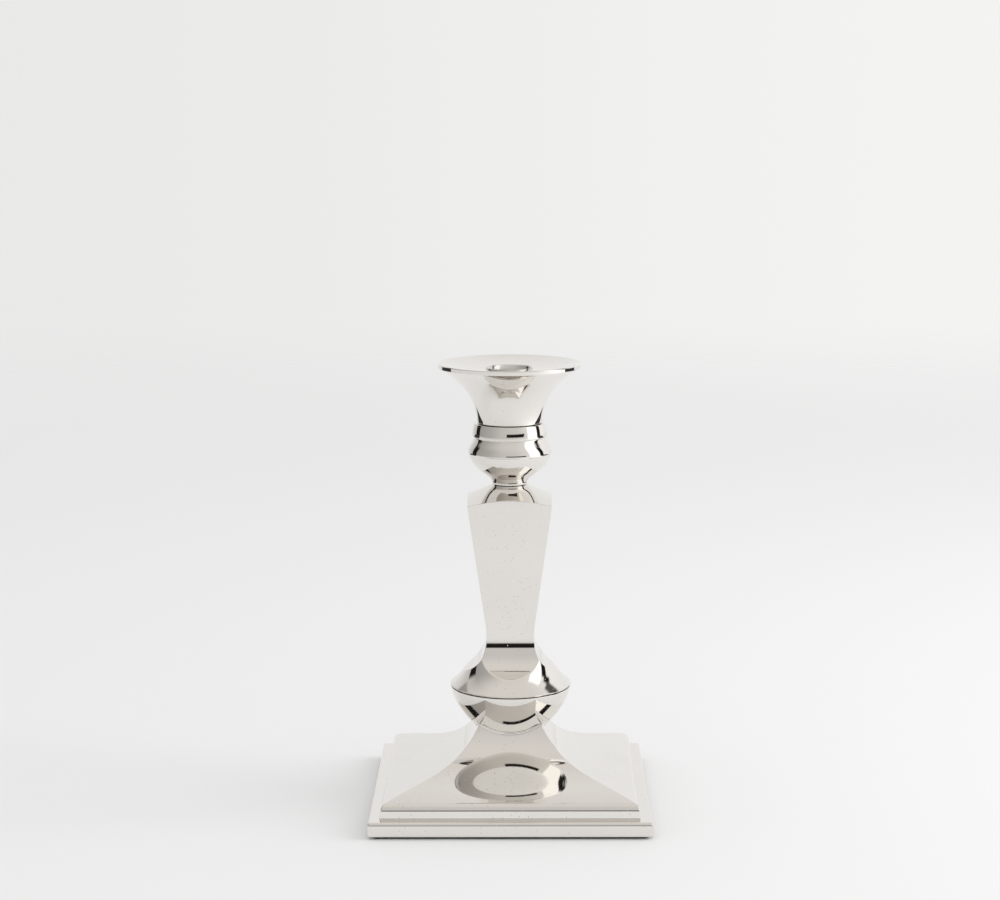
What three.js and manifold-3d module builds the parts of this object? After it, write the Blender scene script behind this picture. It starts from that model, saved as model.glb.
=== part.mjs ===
// Square-based candlestick in nickel-plated cast metal: a round trumpet-shaped drip pan on a banded
// cup, a tapering square column that runs out into a round knop, and a hollow square foot.
// Castings are stacked on one threaded tie rod and drawn together by a nut inside the foot.
// Millimetres, +Z up, origin at the centre of the felt's underside.
import * as THREE from "three";
import { mergeVertices } from "three/addons/utils/BufferGeometryUtils.js";
import Module from "manifold-3d";

const wasm = await Module();
wasm.setup();

// ---- driving dimensions -------------------------------------------------------------------------
const ROUND_SIDES = 64; // sides of every turned casting
const SMALL_SIDES = 32; // sides of rods, washers and small holes
const CURVE_STEPS = 10; // straight pieces in one swept curve of an outline
const REACH = 400; // length of a cutter that has to pass right through a casting
const GAP = 0.3; // clearance kept between neighbouring pieces

const FELT_THICKNESS = 1.2;
const FELT_INSET = 2; // how far the felt stops short of the foot's edge
const FELT_CORNER = 3;
const METAL_LIFT = FELT_THICKNESS + 0.1; // underside of the foot above the table

// All heights below are measured from the underside of the foot.
const PLINTH_HALF = 75;
const PLINTH_HEIGHT = 7.9;
const PLINTH_EDGE = 0.7; // worn edge of the plinth
const STEP_HALF = 68.9; // second step, at its foot
const FACE_EDGE_HALF = 65.9; // outer edge of the concave faces, above the step's rounded edge
const STEP_TOP = 15.9;
const NECK_HALF = 17.1; // square neck where the concave faces end inside the knop
const NECK_TOP = 44.8;
const FOOT_WALL = 5.5;
const HOLLOW_CEILING = 34;
const HOLLOW_CEILING_HALF = 13;

const KNOP_RADIUS = 33.06;
const KNOP_JOINT = 63.4; // the knop's sharp edge, where column and foot meet
const KNOP_FLOOR = 38;
const REGISTER_RADIUS = 12; // shallow round recess that centres the column on the foot
const REGISTER_DEPTH = 3;

const COLUMN_WAIST_HALF = 12.9;
const COLUMN_WAIST_HEIGHT = 96;
const COLUMN_HEAD_HALF = 22.8;
const SHOULDER_CORNER = 166.8; // height of the column's top corners
const SHOULDER_SEAT = 175.2; // height of the seat that carries the cup
const SEAT_RADIUS = 10;

const CUP_TOP = 208.9;
const CUP_BAND_RADIUS = 20.35; // widest, near the band's lower edge
const CUP_BAND_TOP_RADIUS = 19.35;
const CUP_EDGE_RADIUS = 22.65;
const CUP_EDGE_HEIGHT = 192.8;
const CUP_NECK_RADIUS = 9.5;
const CUP_RECESS_RADIUS = 15.5;
const CUP_RECESS_DEPTH = 10;
const CUP_SPIGOT_RADIUS = 6.5;
const CUP_SPIGOT_LENGTH = 3;

const PAN_NECK_RADIUS = 17.75;
const RIM_RADIUS = 38.74;
const RIM_TOP = 241.5;
const RIM_UNDER = 240.2;
const DISH_FLOOR = 236.4;

const SOCKET_RADIUS = 11.3; // takes a 22.2 mm taper
const SLEEVE_WALL = 0.7;
const SLEEVE_LIP = 239.6;
const SLEEVE_ROLL = 0.9; // how far the rolled lip stands out from the sleeve
const SOCKET_DEPTH = 25;

const ROD_RADIUS = 4;
const ROD_BOTTOM = 20;
const ROD_TOP = 206.5;
const ROD_HOLE_RADIUS = ROD_RADIUS + GAP;
const ROD_CHAMFER = 0.8;
const PLAIN_WASHER = { radius: 11, thickness: 2 };
const LOCK_WASHER = { radius: 7.4, thickness: 1.8, slit: 1.2 };
const NUT = { flats: 13, height: 6.5 };

// ---- finishes -----------------------------------------------------------------------------------
const NICKEL = { color: 0xd9d6d0, roughness: 0.08, metalness: 1 };
const NICKEL_INNER = { color: 0xcbc8c2, roughness: 0.2, metalness: 1 };
const STEEL = { color: 0x9a9c9e, roughness: 0.4, metalness: 1 };
const FELT = { color: 0x1e2620, roughness: 1, metalness: 0 };

// ---- helpers ------------------------------------------------------------------------------------
const point = (across, height) => new THREE.Vector2(across, height);

// Points of a cubic curve, from its start to its end, both included.
function swept(start, pull1, pull2, end) {
  return new THREE.CubicBezierCurve(start, pull1, pull2, end).getPoints(CURVE_STEPS);
}

// A round solid: the outline is turned about the vertical axis.
function turned(outline, sides = ROUND_SIDES) {
  const geometry = new THREE.LatheGeometry(outline, sides);
  geometry.rotateX(Math.PI / 2);
  return geometry;
}

// A plain upright rod from one height to another.
function rod(radius, bottom, top, sides = SMALL_SIDES) {
  return turned([point(0, bottom), point(radius, bottom), point(radius, top), point(0, top)], sides);
}

// A bar whose section is the outline and its mirror image, lying along Y.
function bar(outline) {
  const left = outline.map((p) => point(-p.x, p.y)).reverse();
  const shape = new THREE.Shape([...outline, ...left]);
  const geometry = new THREE.ExtrudeGeometry(shape, { depth: REACH, bevelEnabled: false });
  geometry.translate(0, 0, -REACH / 2);
  geometry.rotateX(Math.PI / 2);
  return geometry;
}

// Turns a closed geometry into a solid that can be joined and cut.
function solid(geometry) {
  const bare = geometry.clone();
  bare.deleteAttribute("normal");
  bare.deleteAttribute("uv");
  const merged = mergeVertices(bare, 1e-4);
  const corner = merged.index.array;
  const kept = [];
  for (let i = 0; i < corner.length; i += 3) {
    const [a, b, c] = [corner[i], corner[i + 1], corner[i + 2]];
    if (a !== b && b !== c && c !== a) kept.push(a, b, c);
  }
  const vertProperties = Float32Array.from(merged.getAttribute("position").array);
  const triVerts = Uint32Array.from(kept);
  return new wasm.Manifold(new wasm.Mesh({ numProp: 3, vertProperties, triVerts }));
}

// A square solid: two equal bars, one along X and one along Y, keep what they share.
function squared(outline) {
  const alongY = bar(outline);
  const alongX = alongY.clone().rotateZ(Math.PI / 2);
  return solid(alongY).intersect(solid(alongX));
}

// The finished solid back as a geometry.
function geometryOf(manifold) {
  const { vertProperties, triVerts } = manifold.getMesh();
  const geometry = new THREE.BufferGeometry();
  geometry.setAttribute("position", new THREE.BufferAttribute(vertProperties, 3));
  geometry.setIndex(new THREE.BufferAttribute(triVerts, 1));
  return geometry;
}

function piece(name, manifold, finish) {
  const geometry = geometryOf(manifold);
  geometry.computeVertexNormals();
  const mesh = new THREE.Mesh(geometry, new THREE.MeshStandardMaterial(finish));
  mesh.name = name;
  return mesh;
}

// ---- outlines that two castings share -----------------------------------------------------------
// Upper half of the knop: a bell that flares from the column's corners out to the knop's edge.
const bell = swept(
  point(KNOP_RADIUS, KNOP_JOINT + 0.9),
  point(24.5, 71),
  point(22.2, 77),
  point(21.9, 84),
);

// Lower half of the knop: a bowl that closes in under the edge.
const bowl = swept(
  point(17, KNOP_FLOOR),
  point(25, 46.5),
  point(31.5, 53.5),
  point(KNOP_RADIUS, KNOP_JOINT - GAP / 2),
);

// ---- drip pan: trumpet, rim and dish, with the spigot that seats in the cup ----------------------
function dripPan() {
  const shoulder = CUP_TOP + GAP;
  const spigotRadius = CUP_RECESS_RADIUS - GAP;
  const spigotBottom = CUP_TOP - CUP_RECESS_DEPTH + GAP;
  const trumpet = swept(
    point(PAN_NECK_RADIUS, shoulder),
    point(17.9, 222),
    point(26, 232.5),
    point(38, 239.8),
  );
  const dish = swept(
    point(37.3, RIM_TOP - 0.15),
    point(30, 238.6),
    point(20, DISH_FLOOR + 0.1),
    point(13, DISH_FLOOR),
  );
  const body = solid(
    turned([
      point(0, spigotBottom),
      point(spigotRadius, spigotBottom),
      point(spigotRadius, shoulder),
      ...trumpet,
      point(RIM_RADIUS, RIM_UNDER + 0.2),
      point(RIM_RADIUS, RIM_TOP - 0.4),
      point(RIM_RADIUS - 0.4, RIM_TOP),
      ...dish,
      point(0, DISH_FLOOR),
    ]),
  );
  const sleeveBore = rod(
    SOCKET_RADIUS + SLEEVE_WALL + GAP,
    SLEEVE_LIP - SOCKET_DEPTH - SLEEVE_WALL - GAP,
    RIM_TOP + GAP,
    ROUND_SIDES,
  );
  const rodHole = rod(ROD_HOLE_RADIUS, spigotBottom - GAP, ROD_TOP + GAP);
  return body.subtract(solid(sleeveBore)).subtract(solid(rodHole));
}

// ---- candle sleeve: thin cup with a rounded lip that stands proud of the dish --------------------
function candleSleeve() {
  const outside = SOCKET_RADIUS + SLEEVE_WALL;
  const floorTop = SLEEVE_LIP - SOCKET_DEPTH;
  const floorUnder = floorTop - SLEEVE_WALL;
  const lip = SLEEVE_WALL / 2;
  const roll = outside + SLEEVE_ROLL;
  return solid(
    turned([
      point(0, floorUnder),
      point(outside - lip, floorUnder),
      point(outside, floorUnder + lip),
      point(outside, SLEEVE_LIP - 2.3),
      point(roll, SLEEVE_LIP - 1.6),
      point(roll, SLEEVE_LIP - 0.5),
      point(roll - 0.5, SLEEVE_LIP),
      point(outside - lip, SLEEVE_LIP),
      point(SOCKET_RADIUS, SLEEVE_LIP - 2 * lip),
      point(SOCKET_RADIUS, floorTop),
      point(0, floorTop),
    ]),
  );
}

// ---- candle cup: plain band, flared band with a sharp lower edge, and a slim neck ----------------
function candleCup() {
  const seat = SHOULDER_SEAT + GAP;
  const underside = swept(
    point(CUP_NECK_RADIUS, seat),
    point(10, 181.5),
    point(19.8, 181),
    point(CUP_EDGE_RADIUS - 0.35, CUP_EDGE_HEIGHT - 0.6),
  );
  const body = solid(
    turned([
      point(0, seat - CUP_SPIGOT_LENGTH),
      point(CUP_SPIGOT_RADIUS, seat - CUP_SPIGOT_LENGTH),
      point(CUP_SPIGOT_RADIUS, seat),
      ...underside,
      point(CUP_EDGE_RADIUS, CUP_EDGE_HEIGHT + 0.3),
      point(22.2, 195.6),
      point(21.1, 197.8),
      point(19.6, 199.8),
      point(19.2, 201.2),
      point(CUP_BAND_RADIUS - 0.1, 201.9),
      point(CUP_BAND_RADIUS, 202.6),
      point(20.1, 205),
      point(19.75, 207.2),
      point(CUP_BAND_TOP_RADIUS, CUP_TOP),
      point(0, CUP_TOP),
    ]),
  );
  const recess = rod(CUP_RECESS_RADIUS, CUP_TOP - CUP_RECESS_DEPTH, CUP_TOP + GAP, ROUND_SIDES);
  const rodHole = rod(ROD_HOLE_RADIUS, 0, REACH);
  return body.subtract(solid(recess)).subtract(solid(rodHole));
}

// ---- column: tapering square shaft whose foot coves out into the bell ----------------------------
function column() {
  const under = KNOP_JOINT + GAP / 2;
  const cove = swept(
    point(25.5, 72),
    point(15, 78.5),
    point(COLUMN_WAIST_HALF, 83),
    point(COLUMN_WAIST_HALF, COLUMN_WAIST_HEIGHT),
  );
  const faces = squared([
    point(40, under - REGISTER_DEPTH),
    point(40, 60.9),
    ...cove,
    point(COLUMN_HEAD_HALF, SHOULDER_CORNER),
    point(COLUMN_HEAD_HALF, SHOULDER_SEAT + GAP),
  ]);
  const shoulder = swept(
    point(34, SHOULDER_CORNER - 0.3),
    point(26, 168.3),
    point(17, 171.9),
    point(SEAT_RADIUS, SHOULDER_SEAT),
  );
  const spigotRadius = REGISTER_RADIUS - GAP;
  const round = solid(
    turned([
      point(0, under - REGISTER_DEPTH + GAP),
      point(spigotRadius, under - REGISTER_DEPTH + GAP),
      point(spigotRadius, under),
      point(KNOP_RADIUS - 0.4, under),
      ...bell,
      point(34, 104),
      ...shoulder,
      point(0, SHOULDER_SEAT),
    ]),
  );
  const cupHole = rod(CUP_SPIGOT_RADIUS + GAP, SHOULDER_SEAT - CUP_SPIGOT_LENGTH, REACH);
  const rodHole = rod(ROD_HOLE_RADIUS, 0, REACH);
  return faces.intersect(round).subtract(solid(cupHole)).subtract(solid(rodHole));
}

// ---- foot: stepped plinth with concave faces that rise into the knop's bowl, hollow underneath ---
function foot() {
  const rise = swept(
    point(FACE_EDGE_HALF, STEP_TOP),
    point(45.8, 23.5),
    point(28, 21.9),
    point(NECK_HALF, NECK_TOP),
  );
  const outside = squared([
    point(PLINTH_HALF - PLINTH_EDGE, 0),
    point(PLINTH_HALF, PLINTH_EDGE),
    point(PLINTH_HALF, PLINTH_HEIGHT - PLINTH_EDGE),
    point(PLINTH_HALF - PLINTH_EDGE, PLINTH_HEIGHT),
    point(STEP_HALF, PLINTH_HEIGHT),
    point(68.3, 12.6),
    point(67.8, 14.3),
    point(67, 15.3),
    ...rise,
  ]);
  const knop = solid(turned([point(0, KNOP_FLOOR), ...bowl, point(0, KNOP_JOINT - GAP / 2)]));
  const inside = PLINTH_HALF - FOOT_WALL;
  const ceiling = swept(
    point(inside - 7, 8.5),
    point(40, 11),
    point(19, 20),
    point(HOLLOW_CEILING_HALF, HOLLOW_CEILING),
  );
  const hollow = squared([point(inside, -GAP), point(inside, 3), ...ceiling]);
  const register = rod(REGISTER_RADIUS, KNOP_JOINT - REGISTER_DEPTH, REACH, ROUND_SIDES);
  const rodHole = rod(ROD_HOLE_RADIUS, 0, REACH);
  return outside.add(knop).subtract(hollow).subtract(solid(register)).subtract(solid(rodHole));
}

// ---- tie rod and the fastenings on its lower end -------------------------------------------------
const washerTop = HOLLOW_CEILING - GAP;
const lockTop = washerTop - PLAIN_WASHER.thickness - GAP;
const nutTop = lockTop - LOCK_WASHER.thickness - GAP;

function tieRod() {
  return solid(
    turned(
      [
        point(0, ROD_BOTTOM),
        point(ROD_RADIUS - ROD_CHAMFER, ROD_BOTTOM),
        point(ROD_RADIUS, ROD_BOTTOM + ROD_CHAMFER),
        point(ROD_RADIUS, ROD_TOP - ROD_CHAMFER),
        point(ROD_RADIUS - ROD_CHAMFER, ROD_TOP),
        point(0, ROD_TOP),
      ],
      SMALL_SIDES,
    ),
  );
}

function plainWasher() {
  const disc = rod(PLAIN_WASHER.radius, washerTop - PLAIN_WASHER.thickness, washerTop);
  return solid(disc).subtract(solid(rod(ROD_HOLE_RADIUS, 0, REACH)));
}

function lockWasher() {
  const disc = rod(LOCK_WASHER.radius, lockTop - LOCK_WASHER.thickness, lockTop);
  const slit = new THREE.BoxGeometry(LOCK_WASHER.radius * 2, LOCK_WASHER.slit, REACH);
  slit.translate(LOCK_WASHER.radius, 0, 0);
  return solid(disc).subtract(solid(rod(ROD_HOLE_RADIUS, 0, REACH))).subtract(solid(slit));
}

function baseNut() {
  const acrossCorners = NUT.flats / Math.cos(Math.PI / 6);
  const hexagon = rod(acrossCorners / 2, nutTop - NUT.height, nutTop, 6);
  return solid(hexagon).subtract(solid(rod(ROD_HOLE_RADIUS, 0, REACH)));
}

// ---- felt: a thin rounded square glued under the foot --------------------------------------------
function feltPad() {
  const half = PLINTH_HALF - FELT_INSET;
  const straight = half - FELT_CORNER;
  const outline = new THREE.Shape();
  outline.absarc(straight, straight, FELT_CORNER, 0, Math.PI / 2);
  outline.absarc(-straight, straight, FELT_CORNER, Math.PI / 2, Math.PI);
  outline.absarc(-straight, -straight, FELT_CORNER, Math.PI, Math.PI * 1.5);
  outline.absarc(straight, -straight, FELT_CORNER, Math.PI * 1.5, Math.PI * 2);
  outline.closePath();
  const options = { depth: FELT_THICKNESS, bevelEnabled: false, curveSegments: 4 };
  return solid(new THREE.ExtrudeGeometry(outline, options));
}

// ---- assembly -----------------------------------------------------------------------------------
const metalwork = new THREE.Group();
metalwork.position.z = METAL_LIFT;
metalwork.add(
  piece("drip_pan", dripPan(), NICKEL),
  piece("candle_sleeve", candleSleeve(), NICKEL_INNER),
  piece("candle_cup", candleCup(), NICKEL),
  piece("column", column(), NICKEL),
  piece("foot", foot(), NICKEL),
  piece("tie_rod", tieRod(), STEEL),
  piece("plain_washer", plainWasher(), STEEL),
  piece("lock_washer", lockWasher(), STEEL),
  piece("base_nut", baseNut(), STEEL),
);

const candlestick = new THREE.Group();
candlestick.add(metalwork, piece("felt_pad", feltPad(), FELT));

export default candlestick;
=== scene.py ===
# %% [markdown]
# # A square-based candlestick in polished nickel
# This notebook dresses a imported model of a candlestick. The imported model fixes where every
# casting, rod and washer is. Each of its pieces is made again here as a finer surface, worked out
# with numpy, and is given a finish. A mirror finish shows every flaw of a coarse mesh, because
# what is seen is the room bent by the metal: so the curves are dense, and every edge is rounded a
# little.
#
# The first cell loads the imported model and keeps its size.

import math

import bmesh
import bpy
import numpy as np
from mathutils import Matrix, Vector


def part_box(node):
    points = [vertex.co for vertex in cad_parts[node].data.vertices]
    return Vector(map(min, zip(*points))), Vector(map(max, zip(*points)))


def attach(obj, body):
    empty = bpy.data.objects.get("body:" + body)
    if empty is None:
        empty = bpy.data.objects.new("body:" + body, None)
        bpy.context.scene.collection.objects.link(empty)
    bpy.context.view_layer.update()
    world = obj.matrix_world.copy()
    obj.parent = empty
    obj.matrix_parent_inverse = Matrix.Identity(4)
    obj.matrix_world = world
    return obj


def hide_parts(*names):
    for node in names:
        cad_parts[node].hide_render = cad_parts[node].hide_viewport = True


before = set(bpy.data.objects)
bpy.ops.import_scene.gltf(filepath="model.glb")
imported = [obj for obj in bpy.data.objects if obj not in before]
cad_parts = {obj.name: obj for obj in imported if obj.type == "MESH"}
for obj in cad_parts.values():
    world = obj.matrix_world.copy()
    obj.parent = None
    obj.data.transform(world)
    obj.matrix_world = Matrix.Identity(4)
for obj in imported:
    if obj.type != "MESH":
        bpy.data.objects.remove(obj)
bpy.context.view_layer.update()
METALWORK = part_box("foot")[0].z  # the castings start this far above the table, on the felt
MM = 0.001

# %% [markdown]
# ## Camera
# The candlestick is seen from a little above and from far away through a long lens, as goods are
# shown in a catalogue, so its upright lines stay nearly parallel. The heading and the roll are
# both less than one degree: nobody sets a tripod perfectly, and a mirror-like object shows it.

# %% Camera
CAMERA_PLACE = (0.00755, -1.26746, 0.40046)
CAMERA_TILT = 80.794  # degrees from straight down
CAMERA_HEADING = 0.5805
CAMERA_ROLL = -0.2293
LENS_MM = 85.23
SENSOR_MM = 36.0


def put(name, data):
    """A new object at the origin of the scene, made of the data."""
    thing = bpy.data.objects.new(name, data)
    bpy.context.scene.collection.objects.link(thing)
    return thing


camera_data = bpy.data.cameras.new("camera")
camera_data.lens = LENS_MM
camera_data.sensor_width = SENSOR_MM
camera = put("camera", camera_data)
turns = (
    Matrix.Rotation(math.radians(CAMERA_HEADING), 4, "Z")
    @ Matrix.Rotation(math.radians(CAMERA_TILT), 4, "X")
    @ Matrix.Rotation(math.radians(CAMERA_ROLL), 4, "Z")
)
camera.matrix_world = Matrix.Translation(CAMERA_PLACE) @ turns
bpy.context.scene.camera = camera
bpy.context.scene.view_settings.view_transform = "Standard"
print("camera at", CAMERA_PLACE)

# %% [markdown]
# ## Outlines
# Every casting starts as an outline: pairs of (distance from the axis, height), in millimetres
# above the underside of the foot. An outline is a chain of straight lines and of cubic curves.
# Real edges are never knife sharp after polishing, so each joint in the chain is turned into a
# tiny quadratic curve. A pair of points set very close to each end of that curve keeps the
# shading of the long neighbour flat, which a mirror needs.

# %% Outline tools
CURVE_STEPS = 48
CORNER_STEPS = 6
SUPPORT = 0.04  # mm from a rounded corner to the point that keeps its neighbour's shading straight
MOST_CUT = 0.42  # a corner may take this share of the shorter neighbour


def cubic(start, pull1, pull2, end, steps=CURVE_STEPS):
    """A cubic curve, for t from 0 to 1:
    (1-t)^3 start + 3(1-t)^2 t pull1 + 3(1-t)t^2 pull2 + t^3 end."""
    t = np.linspace(0, 1, steps + 1)[:, None]
    a, b, c, d = (np.array(p, float) for p in (start, pull1, pull2, end))
    return (1 - t) ** 3 * a + 3 * (1 - t) ** 2 * t * b + 3 * (1 - t) * t**2 * c + t**3 * d


def lines(*points):
    """A chain of straight lines, as a list of two-point paths."""
    return [np.array(pair, float) for pair in zip(points[:-1], points[1:])]


def length_of(path):
    """The sum of the distances between neighbouring points."""
    return np.hypot(*np.diff(path, axis=0).T).sum()


def cut_back(path, at_start, at_end):
    """The path without its first and last stretch. Supporting points are added just inside the new
    ends, and all points are read off the path by their distance along it."""
    along = np.r_[0, np.cumsum(np.hypot(*np.diff(path, axis=0).T))]
    low, high = at_start, along[-1] - at_end
    inner = along[(along > low + 2 * SUPPORT) & (along < high - 2 * SUPPORT)]
    ends = [low, low + SUPPORT, high - SUPPORT, high] if high - low > 3 * SUPPORT else [low, high]
    keep = np.sort(np.r_[ends, inner])
    return np.column_stack([np.interp(keep, along, path[:, k]) for k in (0, 1)])


def quadratic(a, corner, b, t):
    """The curve (1-t)^2 a + 2(1-t)t corner + t^2 b. It leaves a and reaches b along the sides of
    the corner."""
    return (1 - t) ** 2 * a + 2 * (1 - t) * t * corner + t**2 * b


def outline(*paths, soft=0.25):
    """Joins paths end to end, and rounds each joint over `soft` mm of both neighbours."""
    cuts = [
        min(soft, MOST_CUT * min(length_of(a), length_of(b))) for a, b in zip(paths[:-1], paths[1:])
    ]
    t = np.linspace(0, 1, CORNER_STEPS + 1)[1:-1, None]
    joined = []
    for path, before, after in zip(paths, [0, *cuts], [*cuts, 0]):
        kept = cut_back(path, before, after)
        if joined:
            joined.append(quadratic(joined[-1][-1], path[0], kept[0], t))
        joined.append(kept)
    return np.vstack(joined)


print("a curve has", CURVE_STEPS, "steps and a rounded corner", CORNER_STEPS)


# %% [markdown]
# ## From outlines to skins
# A skin is a grid of points: its rows follow the outline and its columns go round the axis. A
# turned piece has the same circle in every row. A square piece has a rounded square in every row:
# four straight sides joined by quarter circles. Both are whole-array sums, so a skin of thirty
# thousand points takes no time. The last helper closes the grid into a solid skin, checks by its
# volume that the faces look outwards, and merges the points that meet at a pole.

# %% Skin tools
ROUND_COLUMNS = 240
SIDE_COLUMNS = 44  # along each flat side of a square piece
ARC_STEPS = 6  # in the quarter circle at each corner
MERGE = 1e-7


def circle(columns=ROUND_COLUMNS):
    """Unit directions (cos a, sin a) all round the axis, one row per column."""
    a = np.linspace(0, 2 * math.pi, columns, endpoint=False)
    return np.column_stack([np.cos(a), np.sin(a)])


def square_columns():
    """What each column of a square piece needs: a point of a square of half width 1, and the part
    of a unit circle round it that the column's corner bulges by. A side holds (1, s) for s from -1
    to 1, closer together towards the corners, and bulges straight out. A corner holds (1, 1) and
    bulges by (cos a, sin a). Three quarter turns give the other sides."""
    s = np.sin(np.linspace(-1, 1, SIDE_COLUMNS + 1) * math.pi / 2)
    a = np.linspace(0, math.pi / 2, ARC_STEPS + 1)[1:-1]
    reach = np.vstack([np.column_stack([s * 0 + 1, s]), np.ones((len(a), 2))])
    bulge = np.vstack(
        [np.column_stack([s * 0 + 1, s * 0]), np.column_stack([np.cos(a), np.sin(a)])]
    )
    quarter = np.array([[0, 1], [-1, 0]])
    turns = [np.linalg.matrix_power(quarter, n) for n in range(4)]
    return np.vstack([reach @ m for m in turns]), np.vstack([bulge @ m for m in turns])


REACH, BULGE = square_columns()
every = np.ones(len(REACH))  # turns one value into one value per column
print(ROUND_COLUMNS, "columns round a turned piece,", len(REACH), "round a square one")


def rounded_square(half, radius):
    """Points (half - radius) reach + radius bulge. The half width may differ from row to row, or
    from column to column."""
    flat_part = (np.asarray(half, float) - radius)[..., None]
    return flat_part * REACH + np.asarray(radius)[..., None] * BULGE


def raised(flat, height):
    """Adds heights, one per row or one per point, to [row, column, xy]."""
    height = np.asarray(height, float)
    z = height if height.ndim == 2 else np.repeat(height[:, None], flat.shape[1], axis=1)
    return np.dstack([flat, z])


def turned(path, directions=circle()):
    """A surface of revolution: (r cos a, r sin a, z) for each (r, z) of the path."""
    return raised(path[:, :1, None] * directions[None], path[:, 1])


def squared(path, radius):
    """A rounded square of half width h at height z for each (h, z) of the path."""
    radius = np.broadcast_to(radius, len(path))[:, None]
    return raised(rounded_square(path[:, :1], radius), path[:, 1])


def signed_volume(points, faces):
    """A sixth of the sum of a.(b x c) over the triangles: positive if the faces look outwards."""
    tri = np.vstack([faces[:, [0, 1, 2]], faces[:, [0, 2, 3]]])
    a, b, c = (points[tri[:, k]] for k in range(3))
    return np.einsum("ij,ij->", a, np.cross(b, c)) / 6


def grid_faces(rows, columns, loop=False):
    """Four-sided faces between neighbouring rows of a grid whose columns join up round the axis."""
    i = np.arange(rows if loop else rows - 1)[:, None] * columns
    j = np.arange(columns)[None]
    k = (j + 1) % columns
    up = (i + columns) % (rows * columns)
    return np.stack([i + j, i + k, up + k, up + j], axis=2).reshape(-1, 4)


def skin(name, grid, loop=False, replaces=()):
    """Makes a closed mesh object from grid[row, column, xyz] in mm above the underside of the foot.
    The columns always join up round the axis. The rows join up too if loop is true. If not, the
    first and last row are each a pole or are filled flat."""
    faces = grid_faces(*grid.shape[:2], loop)
    points = grid.reshape(-1, 3) * MM + np.array([0, 0, METALWORK])
    if signed_volume(points - points.mean(0), faces) < 0:
        faces = faces[:, ::-1]
    mesh = bpy.data.meshes.new(name)
    mesh.from_pydata(points.tolist(), [], faces.tolist())
    work = bmesh.new()
    work.from_mesh(mesh)
    bmesh.ops.remove_doubles(work, verts=work.verts, dist=MERGE)
    open_edges = [e for e in work.edges if e.is_boundary]
    if open_edges:
        bmesh.ops.holes_fill(work, edges=open_edges)
    work.to_mesh(mesh)
    work.free()
    mesh.polygons.foreach_set("use_smooth", np.ones(len(mesh.polygons), bool))
    piece = put(name, mesh)
    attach(piece, "root")
    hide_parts(*replaces)
    print(name, len(mesh.polygons), "faces,", len(open_edges), "edges closed")
    return piece


# %% [markdown]
# ## Drip pan
# The drip pan is one casting: a trumpet that opens into a rounded rim, a shallow dish that
# catches wax, a bore for the sleeve, and a spigot below that drops into the cup. It is turned on
# a lathe. A lathe makes surfaces of revolution, so one outline is all that the piece needs.

# %% Drip pan
GAP = 0.3  # left between neighbouring pieces
ROD_HOLE = 4.3
ROD_HOLE_TOP = 206.8
CUP_TOP = 208.9
PAN_SEAT = CUP_TOP + GAP
PAN_NECK = 17.75
SPIGOT_RADIUS = 15.2
SPIGOT_BOTTOM = 199.2
RIM_RADIUS = 38.74
RIM_TOP = 241.5
RIM_UNDER = (37.6, 238.7)  # the trumpet ends here
RIM_INNER = (37.3, RIM_TOP - 0.15)  # the dish starts here
RIM_ROUND = 0.3
DISH_FLOOR = 236.4
DISH_FLAT = 13.0  # the dish is level from here to the sleeve's bore
SLEEVE_RADIUS = 12.0
SLEEVE_LIP = 239.0
SLEEVE_WALL = 0.7
SOCKET_DEPTH = 24.4  # down to the floor that the candle stands on
SLEEVE_FLOOR = SLEEVE_LIP - SOCKET_DEPTH
BORE_FLOOR = SLEEVE_FLOOR - SLEEVE_WALL - GAP
BORE_RADIUS = SLEEVE_RADIUS + GAP

trumpet = cubic((PAN_NECK, PAN_SEAT), (17.9, 222), (25.7, 231.6), RIM_UNDER)
dish = cubic(RIM_INNER, (30, 238.6), (20, DISH_FLOOR + 0.1), (DISH_FLAT, DISH_FLOOR))
pan_path = outline(
    *lines(
        (0, ROD_HOLE_TOP), (ROD_HOLE, ROD_HOLE_TOP), (ROD_HOLE, SPIGOT_BOTTOM),
        (SPIGOT_RADIUS, SPIGOT_BOTTOM), (SPIGOT_RADIUS, PAN_SEAT), (PAN_NECK, PAN_SEAT),
    ),
    trumpet,
    *lines(
        RIM_UNDER, (RIM_RADIUS - 0.15, 239.1), (RIM_RADIUS, RIM_TOP - RIM_ROUND),
        (RIM_RADIUS - RIM_ROUND, RIM_TOP), RIM_INNER,
    ),
    dish,
    *lines(
        (DISH_FLAT, DISH_FLOOR), (BORE_RADIUS, DISH_FLOOR), (BORE_RADIUS, BORE_FLOOR),
        (0, BORE_FLOOR),
    ),
)
drip_pan = skin(
    "drip_pan_casting", turned(pan_path), replaces=["drip_pan"]
)

# %% [markdown]
# ## Candle sleeve
# The sleeve is a thin liner that holds the candle. Its lip is rolled outwards and its mouth is
# flared, so that a candle finds its way in and its wax isn't scraped. It too is a surface of
# revolution, whose outline runs up the outside, over the lip and down the inside.

# %% Candle sleeve
SLEEVE_ROLL = 0.9  # how far the rolled lip stands out from the sleeve
ROLL_DEPTH = 2.0  # the roll starts this far below the lip
LIP_FLAT = 0.45
MOUTH = 4.5  # depth over which the sleeve's mouth narrows to the candle's width
SLEEVE_SOFT = 0.4

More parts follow.
